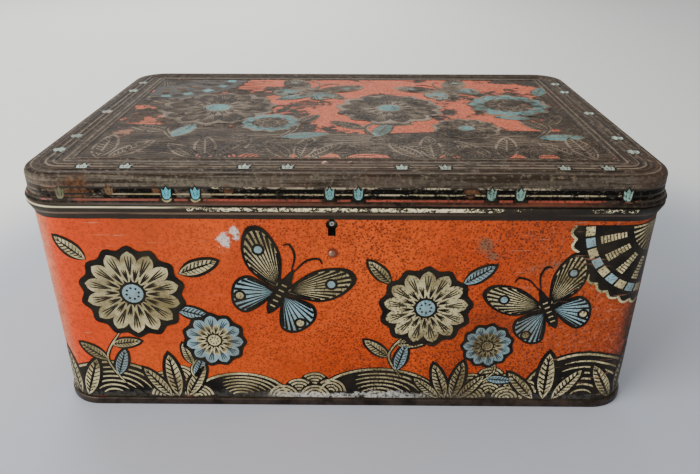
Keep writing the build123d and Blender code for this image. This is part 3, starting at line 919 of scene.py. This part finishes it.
def butterfly(on, x, y, size, turn):
    """Butterfly seen from above: size is its span."""
    place = placer(on.at(x), y, size / 2, on.mirror * turn)
    along = placer(on.at(x), y, size / 2, on.mirror * turn - UP)
    for side in (-1, 1):
        for colour, spot_colour, rise, wing in WINGS:
            points = [(px * side, py) for px, py in wing]
            mid_x, mid_y = (sum(values) / len(points) for values in zip(*points))
            closed = curve(points + points[:1], 8)[:-1]
            on["edge"].fill(place(closed))
            inner = [(mid_x + (px - mid_x) * 0.85, mid_y + (py - mid_y) * 0.85) for px, py in closed]
            on[colour].fill(place(inner))
            root = points[0]
            for tip in inner[3:-3:3]:
                reach = (tip[0] - root[0], tip[1] - root[1])
                if hypot(*reach) > 0.3:
                    vein = [(root[0] + reach[0] * t, root[1] + reach[1] * t) for t in (0.1, 0.4, 0.7, 1.0)]
                    on["line"].stroke(place(vein), [size * w for w in (0.005, 0.009, 0.014, 0.026)])
            spot = (mid_x + side * 0.14, mid_y + rise)
            on["line"].fill(place(circle(*spot, 0.11, 14)))
            on[spot_colour].fill(place(circle(*spot, 0.066, 12)))
    on["edge"].fill(along([(px * 0.86 - 0.36, py) for px, py in petal(1.0, 0.30, 0.4)]))
    on["line"].fill(along([(px * 0.92 - 0.5, py) for px, py in petal(1.0, 0.16, 0.35)]))
    for i in range(5):
        ring = [(-0.045, -0.30 + 0.11 * i), (0.045, -0.30 + 0.11 * i)]
        on["fill_top"].even(place(ring), size * 0.012)
    for side in (-1, 1):
        feeler = [(px * side, py) for px, py in FEELER]
        on["edge"].tapered(place(curve(feeler, 5)), size * 0.020)


def leaf(on, x, y, length, turn, width=0.36, colour="fill"):
    """Pointed leaf from its stalk end, with slanting veins and a dark half."""
    place = placer(x, y, 1.0, turn)
    outline = petal(length * (0.98 + 0.08 * on.rim), length * width * (0.90 + 0.40 * on.rim), 0.42)
    on["edge"].fill(place([(px - length * 0.02, py) for px, py in outline]))
    on[colour].fill(place(petal(length * 0.94, length * width * 0.88, 0.42)))
    on["line"].tapered(place([(length * t, 0) for t in (0.02, 0.3, 0.6, 0.9)]), length * 0.05 * on.rim)
    for i in range(1, 9):
        share = i / 9.5
        start = share * 0.92
        half = length * width * 0.42 * sin(pi * (share * 1.1)) ** 0.7
        for side, thickness in ((-1, 0.018), (1, 0.030)):
            rib = [(length * start, 0), (length * (start + 0.05), side * half * 0.6),
                   (length * (start + 0.085), side * half * 0.92)]
            on["line"].even(place(rib), length * thickness * on.rim)


def loose_leaf(on, x, y, length, lean, colour="fill"):
    """Leaf on its own: lean is its slant from upright."""
    leaf(on, on.at(x), y, length, UP - on.mirror * lean, colour=colour)


def stem(on, controls, leaves, size):
    """Curved stalk with leaves on both sides."""
    stalk = curve([(on.at(x), y) for x, y in controls])
    on["edge"].tapered(stalk, size * 0.13)
    on["fill"].tapered(stalk[1:-1], size * 0.05)
    for i in range(leaves):
        index = int((i + 0.8) / (leaves + 0.6) * (len(stalk) - 2))
        x, y = stalk[index]
        ahead_x, ahead_y = stalk[index + 1]
        turn = atan2(ahead_y - y, ahead_x - x) + (0.85 if i % 2 else -0.85)
        leaf(on, x, y, size * (1.05 - 0.06 * i), turn, colour="fill" if i % 3 else "blue")


def clump(on, x, leans, length):
    """Tuft of broad leaves that fans out from the ground."""
    for lean in leans:
        size = length * (1.0 - 0.35 * abs(lean))
        leaf(on, on.at(x) + lean * length * 0.25, on.floor, size, UP - lean, 0.3)


def hill(on, x, half, height):
    """Dark mound with a pale rim and pale hatching that fades to one side."""
    def arch(share, start=0.0, end=pi):
        return arc(on.at(x), on.floor, half * share, start, end, 18, height / half)
    on["black"].fill(arch(1.0))
    on["fill"].even(arch(0.94), 1.0)
    for i in range(6):
        on["fill"].tapered(arch(0.80 - 0.12 * i, 0.25 + 0.10 * i, 2.0 + 0.12 * i), 0.85)


def scale_centres(left, right, floor, heights, radius):
    """Places of fan-shaped scales in rows, stacked up to a changing height."""
    columns = int((right - left) / radius)
    step = (right - left) / columns
    drop = radius * 0.5
    centres = []
    for column in range(columns + 1):
        spot = column / columns * (len(heights) - 1)
        low = int(min(spot, len(heights) - 2))
        height = heights[low] + (heights[low + 1] - heights[low]) * (spot - low)
        for row in range(column % 2, int(height / drop), 2):
            centres.append((left + step * column, floor + row * drop))
    return centres


def scales(on, left, right, heights, radius=6.6):
    """Fan-shaped scales, where the nearer ones hide part of the ones behind."""
    left, right = sorted((on.at(left), on.at(right)))
    floor = on.floor
    centres = scale_centres(left, right, floor, heights, radius)
    base = floor + radius * 0.5 * 1.15
    on["black"].fill([(left, floor), (right, floor), (right, base), (left, base)])
    for x, y in centres:
        on["black"].fill(arc(x, y, radius * 1.03, 0, pi, 14))
        nearer = [c for c in centres if y - radius < c[1] < y - 0.1 and abs(c[0] - x) < 2 * radius]
        for reach in (0.90, 0.66, 0.42, 0.18):
            run = []
            for point in arc(x, y, radius * reach, 0, pi, 20):
                hidden = point[1] < floor + 0.3 or any(dist(point, c) < radius * 1.08 for c in nearer)
                if not hidden:
                    run.append(point)
                if (hidden or point[0] <= x - radius * reach + 1e-6) and len(run) > 1:
                    on["fill"].even(run, radius * 0.14)
                if hidden:
                    run = []


def hand_fan(on, x, y, radius, start, end, blades):
    """Open folding fan round its pivot, from a start to an end in degrees."""
    start, end = radians(start), radians(end)
    step = (end - start) / blades
    rim = [polar(x, y, radius * (1.0 + 0.05 * sin(pi * t / 6)), start + step * (i + t / 6))
           for i in range(blades) for t in range(6)]
    rim.append(polar(x, y, radius, end))
    on["black"].fill(rim + [(x, y)])
    on["fill"].even(rim, 1.0)
    for i in range(blades):
        low, high = start + step * (i + 0.10), start + step * (i + 0.90)

        def ring(share, first, second, steps=4):
            return arc(x, y, radius * share, first, second, steps)
        if i % 2:
            on["fill"].fill(ring(0.74, low, high) + ring(0.46, high, low))
            for t in range(7):
                on["line"].even(ring(0.49 + 0.037 * t, low, high, 3), 0.32)
        on["blue" if i % 2 else "fill"].fill(ring(0.90, low, high) + ring(0.80, high, low))
        spoke = [polar(x, y, radius * t, start + step * (i + 0.5)) for t in (0.04, 0.2, 0.38)]
        on["edge"].even(spoke, 1.5)
        on["fill"].even(spoke, 0.7)


def ripples(on, left, right, low, high, gap):
    """Level lines that swell and sink together, like water."""
    row = 0
    while low + row * gap < high:
        level = low + row * gap
        shift = 1.7 * sin(row * 2.4)
        start = left + 5 * (1 + sin(row * 1.9))
        end = right - 5 * (1 + cos(row * 2.3))
        places = [start + (end - start) * i / RIPPLE_STEPS for i in range(RIPPLE_STEPS + 1)]
        on["edge"].tapered([
            (x, level + 0.5 * sin(x * 0.23 + shift) + 0.25 * sin(x * 0.61 + row)) for x in places], 0.45)
        row += 1


# Outline of a bud with three points, one unit across and tall
BUD_CUP = ((-0.36, -0.28), (-0.18, -0.46), (0.18, -0.46), (0.36, -0.28), (0.42, 0.34), (0.20, 0.20),
           (0.0, 0.52), (-0.20, 0.20), (-0.42, 0.34))


def tulip(on, x, y, size, turn=0.0, colour="bud", tall=1.0, edge=True):
    """Bud, outlined in black unless it's worn: size times tall is its height."""
    place = placer(x, y, size, turn)
    if edge:
        on["bud_edge"].fill(place([(px * 1.34, py * tall * 1.24) for px, py in BUD_CUP]))
    on[colour].fill(place([(px * 0.95, py * tall * 0.94) for px, py in BUD_CUP]))
    for side in (-1, 1):
        crease = [(0.05 * side, -0.36 * tall), (0.15 * side, -0.08 * tall), (0.19 * side, 0.19 * tall)]
        on["bud_line"].tapered(place(crease), size * 0.045)


def motif_layers(on, lines, fills, blues, low):
    """Layers over the edge: fills and blues, lines over both, and a top one of each."""
    materials = {"fill": fills, "blue": blues, "line": lines}
    for key, step in MOTIF_LAYERS:
        on.layer(key, materials[key.split("_")[0]], low + step)


def bud_layers(on, edge, bud, low):
    for key, material, step in (("bud_edge", edge, 0.0), ("bud", bud, 0.03), ("bud_line", edge, 0.05)):
        on.layer(key, material, low + step)


# Print on the wall

def wall_print():
    on = Print("print", wall_place, "tin", "wall_print", corner_cuts(), WALL_FOOT)
    ink = on.paint("ink", (INK, INK_WORN), stain=0.1, speckle=0.3, specular=0.15)
    cream = on.paint("cream", (CREAM, KHAKI), stain=0.45, speckle=0.9)
    blue = on.paint("blue", (PALE_BLUE, BLUE_GREY), speckle=0.6)
    on.layer("edge", ink, 0.045)
    motif_layers(on, ink, cream, blue, 0.07)
    on.layers["black"] = on["edge"]
    return on


def draw_front(on):
    on.draw(hill, (-98, 25, 19), (-44, 21, 13), (14, 27, 16), (100, 27, 25))
    on.draw(scales, (-76, -62, (10, 14, 9)), (-26, -6, (8, 13, 7)), (38, 76, (7, 14, 18, 9)))
    on.over(1)
    on.draw(clump, (-112, (-0.7, -0.2, 0.35), 25), (-70, (-0.6, -0.1, 0.5), 24),
            (44, (-0.8, -0.3, 0.2, 0.7), 22), (84, (-0.7, 0.0, 0.6), 25), (116, (-0.5, 0.1), 26))
    on.draw(stem, (((-92, 10), (-98, 24), (-90, 38)), 3, 14), (((-60, 9), (-64, 18), (-58, 27)), 2, 12),
            (((24, 14), (18, 26), (26, 38)), 3, 14), (((54, 10), (62, 18), (60, 27)), 2, 11))
    on.draw(loose_leaf, (-64, 64, 17, UP - 0.35), (-67, 48, 15, UP + 0.3, "blue"), (-99, 70, 15, UP - 2.4),
            (46, 60, 15, UP - 0.6, "blue"), (18, 60, 14, UP - 2.3))
    hand_fan(on, 120, 86, 34, 181, 266, 9)
    on.over(2)
    on.draw(blossom, (-83, 55, 19, 14, 0.2), (-53, 33, 12, 11, 0.5, "blue"), (32, 49, 17, 13, 0.1),
            (58, 31, 10, 11, 0.3, "blue"))
    on.draw(butterfly, (-25, 56, 47, -0.5), (80, 49, 42, 0.45))


def draw_side(on):
    on.draw(hill, (-52, 20, 17), (36, 28, 15))
    scales(on, -30, 8, (9, 15, 8))
    on.over(1)
    on.draw(clump, (62, (-0.6, 0.0, 0.6), 24), (-32, (-0.7, -0.1, 0.5), 22))
    on.draw(stem, (((34, 14), (38, 26), (30, 38)), 4, 14), (((-12, 10), (-16, 18), (-24, 24)), 3, 12))
    on.draw(loose_leaf, (48, 64, 15, 0.9, "blue"), (8, 62, 14, -0.9), (-58, 40, 14, -0.5),
            (-2, 36, 12, 1.9, "blue"))
    on.over(2)
    on.draw(blossom, (28, 52, 18, 13), (-28, 30, 11, 11, 0.2, "blue"))
    butterfly(on, -38, 64, 40, 0.35)


def draw_half_back(on):
    on.draw(hill, (90, 26, 18), (28, 18, 12))
    scales(on, 46, 66, (8, 14, 8))
    on.over(1)
    clump(on, 62, (-0.6, 0.0, 0.6), 24)
    on.draw(stem, (((88, 14), (94, 26), (86, 38)), 4, 14), (((46, 8), (42, 16), (34, 24)), 2, 12))
    on.over(2)
    on.draw(blossom, (78, 53, 18, 14), (28, 30, 11, 11, 0.2, "blue"), (108, 34, 10, 11, 0.1, "blue"))
    butterfly(on, 38, 62, 42, -0.3)
    on.over(1)
    on.draw(loose_leaf, (100, 70, 15, 0.9), (58, 44, 13, 2.0, "blue"), (14, 48, 13, -0.5))


def print_wall():
    on = wall_print()
    sides = ((draw_front, 0.0, 1), (draw_side, SIDE_MIDDLE, 1), (draw_side, -SIDE_MIDDLE, -1),
             (draw_half_back, -BACK_MIDDLE, 1), (draw_half_back, BACK_MIDDLE, -1))
    for draw_on, on.middle, on.mirror in sides:
        on.over(0)
        draw_on(on)
    del on.layers["black"]
    on.build()


print_wall()


# Print on the lid's skirt: lines and buds

def skirt_print():
    on = Print("skirt", skirt_place, "lid", "lid_print", corner_cuts())
    on.colour("gold", 0.03, (GOLD, KHAKI), wear=0.12, worn_to=INK, kept=(-0.086, 0.1))
    on.colour("gold_fine", 0.03, (GOLD, LID_PALE), wear=0.17, worn_to=LID_DARK, kept=(-0.045, 0.08))
    on.colour("coral", 0.03, (CORAL, CORAL_DARK), wear=0.07, worn_to=INK_WORN, kept=(-0.101, 0.09))
    on.colour("crescent", 0.12, (CREAM, KHAKI))
    ink = on.paint("bud_ink", (INK, INK_WORN), stain=0.1, speckle=0.2, specular=0.1)
    bud_layers(on, ink, on.paint("bud_blue", BUD_BLUE, stain=0.15, speckle=0.4), 0.06)
    on.colour("bud_faded", 0.09, BUD_FADED, stain=0.5, wear=0.06, worn_to=RUST_BROWN)
    on.colour("bud_grey", 0.09, BUD_GREY, stain=0.2, speckle=0.5)
    on.colour("bud_green", 0.09, BUD_GREEN)
    on.colour("bud_rusty", 0.09, BUD_RUSTY, stain=0.4, wear=0.1, worn_to=RUST_BROWN)
    return on


def skirt_line(on, key, level, width):
    """Line all the way round, in two halves."""
    for start in (-BACK_MIDDLE, 0.0):
        places = [start + BACK_MIDDLE * i / SKIRT_STEPS for i in range(SKIRT_STEPS + 1)]
        on[key].even([(s, level) for s in places], width)


def skirt_bud(on, s, colour="bud"):
    if colour == "bud_rusty":
        tulip(on, s, 98.7, 3.8, colour=colour, edge=False)
        return
    tulip(on, s, 97.9, 4.2, colour=colour, tall=1.2, edge=colour != "bud_faded")
    on["bud_edge"].fill([(s - 2.8, 95.0), (s + 2.8, 95.0), (s + 2.8, 95.9), (s - 2.8, 95.9)])
    if colour == "bud":
        on["crescent"].fill(arc(s, 97.0, 2.3, -2.5, -0.64, 8) + arc(s, 97.0, 1.75, -0.64, -2.5, 8))


def print_skirt():
    on = skirt_print()
    on.draw(skirt_line, ("gold_fine", 99.9, 0.7), ("gold", 97.4, 0.6), ("coral", 95.45, 0.65))
    on.draw(skirt_bud, (-103, "bud_faded"), (-85, "bud_rusty"), (-64.3,), (-53.8,), (-5.3, "bud_grey"),
            (5.1, "bud_grey"), (53.1, "bud_green"), (63.5, "bud_green"), (102, "bud_green"))
    for middle in (-SIDE_MIDDLE, SIDE_MIDDLE):
        for x in (-62, -36, -26, -5, 5, 26, 36, 62):
            skirt_bud(on, middle + x)
    for x in (-102, -63.5, -53.1, -5.2, 5.2, 53.1, 63.5, 102):
        skirt_bud(on, BACK_MIDDLE + x)
    on.build()


print_skirt()


# Print on the top of the lid: worn lines over a dark and orange picture field, and buds round it

def lid_print():
    on = Print("lid", top_place, "lid", "lid_print", ridge_cuts(), PANEL_FOOT, rim=0.6)
    on.colour("black", 0.03, (LID_BLACK, LID_BLACK_WORN), stain=0.1, speckle=0.3, specular=0.12)
    pale = on.paint("pale", (LID_PALE, LID_BROWN), stain=0.4, speckle=0.3, wear=0.1, worn_to=LID_DARK,
                    specular=0.04)
    dark = on.paint("dark", (LID_BROWN, LID_DARK), pit=LID_PALE, stain=0.4, speckle=0.35, specular=0.04)
    blue = on.paint("blue", (LID_BLUE, LID_BLUE_GREY), stain=0.4, speckle=0.5, specular=0.05)
    on.layer("edge", pale, 0.05)
    motif_layers(on, pale, dark, blue, 0.08)
    on.colour("chalk", 0.18, (GOLD, LID_PALE), stain=0.4, specular=0.04)
    on.colour("scrap", 0.1, (LID_ORANGE, LID_ORANGE_PALE), stain=0.4, specular=0.04)
    edge = on.paint("bud_edge", BUD_LID_EDGE, stain=0.2, speckle=0.3, specular=0.1)
    bud_layers(on, edge, on.paint("bud", BUD_LID, speckle=0.3, specular=0.1), 0.07)
    return on


def draw_lid(on):
    on["fill"].fill([(-PANEL_SIDE, PANEL_FOOT), (PANEL_SIDE, PANEL_FOOT), (PANEL_SIDE, -30), (60, -28),
                     (10, -34), (-40, -28), (-PANEL_SIDE, -20)])
    on.over(0.3)
    for x, half in ((-55, 4), (-45, 3), (-37, 4), (-20, 7), (-6, 4), (9, 8), (40, 4), (66, 3), (78, 4)):
        on["scrap"].fill(arc(x, PANEL_FOOT + 1.0, half, 0, pi, 12, 4.2 / half))
    for i in range(26):
        x, y = -23 + 1.3 * i, PANEL_FOOT + 1.4 + 1.1 * sin(2.7 * i)
        on["chalk"].even([(x, y), (x + 0.5 + 0.4 * sin(i), y + 0.25 * cos(i))], 0.5)
    on.over(0.6)
    on.draw(ripples, (-102, 102, PANEL_FOOT + 4.6, -34, 1.5), (-102, -40, -32, 62, 2.2))
    on.draw(hill, (-76, 24, 20), (8, 30, 17), (78, 24, 16))
    on.draw(scales, (-50, -24, (14, 22, 12), 7.5), (40, 54, (12, 18, 12), 7.0))
    hand_fan(on, -102, 64, 44, -89, -1, 10)
    on.over(1)
    on.draw(clump, (-94, (-0.1, 0.5), 30), (-52, (-0.7, -0.2, 0.4), 30), (-18, (-0.5, 0.1, 0.6), 28),
            (34, (-0.6, 0.0, 0.6), 28), (60, (-0.5, 0.2), 30), (96, (-0.6, -0.1), 30))
    on.draw(stem, (((-70, -44), (-78, -26), (-66, -12)), 4, 20), (((-30, -44), (-22, -24), (-30, -6)), 4, 20),
            (((16, -44), (8, -26), (18, -12)), 3, 20), (((76, -44), (88, -24), (80, -4)), 4, 20))
    on.draw(loose_leaf, (-84, 14, 22, UP - 2.5), (-36, 22, 22, UP - 0.5, "blue"), (44, 20, 22, UP - 0.9),
            (96, 30, 20, UP - 1.2, "blue"), (-2, 22, 20, UP - 2.2))
    on.over(2)
    on.draw(blossom, (-62, 6, 26, 14, 0.2), (20, 6, 24, 13, 0.1), (-34, -18, 13, 11, 0.3, "blue"),
            (78, 12, 19, 12, 0.4, "blue"), (52, -26, 14, 11))
    on.draw(butterfly, (-20, 39, 46, -0.4), (51, 40, 42, 0.5))


def draw_lid_buds(on):
    for x in (-96.6, -80.6, -37.0, -21.0, 21.0, 37.0, 80.6, 96.6):
        tulip(on, x, -74.3, 5.4)
    for y in (-56.0, -38.5, -1.4, 38.5, 56.0):
        for side in (-1, 1):
            tulip(on, side * 112.4, y, 5.4, side * UP)


def print_lid():
    on = lid_print()
    draw_lid(on)
    on.over(0)
    draw_lid_buds(on)
    on.build()


print_lid()


# Floor and lights

def add_floor():
    """Pale floor, a shade cooler close to the box, with painted shade darkening it towards the right."""
    shader = Shader("floor_pale")
    far = shader.mix(shader.x.ramp(-0.25, 0.75), *FLOOR_FAR_LIT_TO_SHADED)
    near = shader.mix(shader.x.ramp(0.10, 0.20), *FLOOR_NEAR_LIT_TO_SHADED)
    reach = distance(shader.x, shader.y) - shader.x.ramp(0.10, 0.25, 0.0, 0.05)
    colour = shader.mix(reach.ramp(0.19, 0.30), near, far)
    data = bpy.data.meshes.new("floor")
    data.from_pydata([(-3, -2, 0), (3, -2, 0), (3, 4, 0), (-3, 4, 0)], [], [(0, 1, 2, 3)])
    data.materials.append(shader.finish(colour, 0.65, specular=0.3))
    floor = bpy.data.objects.new("floor", data)
    scene.collection.objects.link(floor)


def add_area(name, place, target, size, power, colour):
    data = bpy.data.lights.new(name, "AREA")
    data.shape = "RECTANGLE"
    data.size, data.size_y = size
    data.energy = power
    data.color = colour
    light = bpy.data.objects.new(name, data)
    light.location = place
    light.rotation_euler = (Vector(target) - Vector(place)).to_track_quat("-Z", "Y").to_euler()
    scene.collection.objects.link(light)


def add_light():
    world = bpy.data.worlds.new("studio")
    world.use_nodes = True
    colour, strength = world.node_tree.nodes["Background"].inputs[:2]
    colour.default_value = STUDIO
    strength.default_value = 0.75
    scene.world = world
    add_area("window", (-1.0, -0.7, 0.9), (0, 0, 0.05), (0.9, 0.9), 18, (1.0, 0.98, 0.95))
    add_area("back_fill", (-0.4, 1.4, 1.1), (0, 0.3, 0.0), (1.6, 0.8), 17, (0.98, 0.99, 1.0))


add_floor()
add_light()
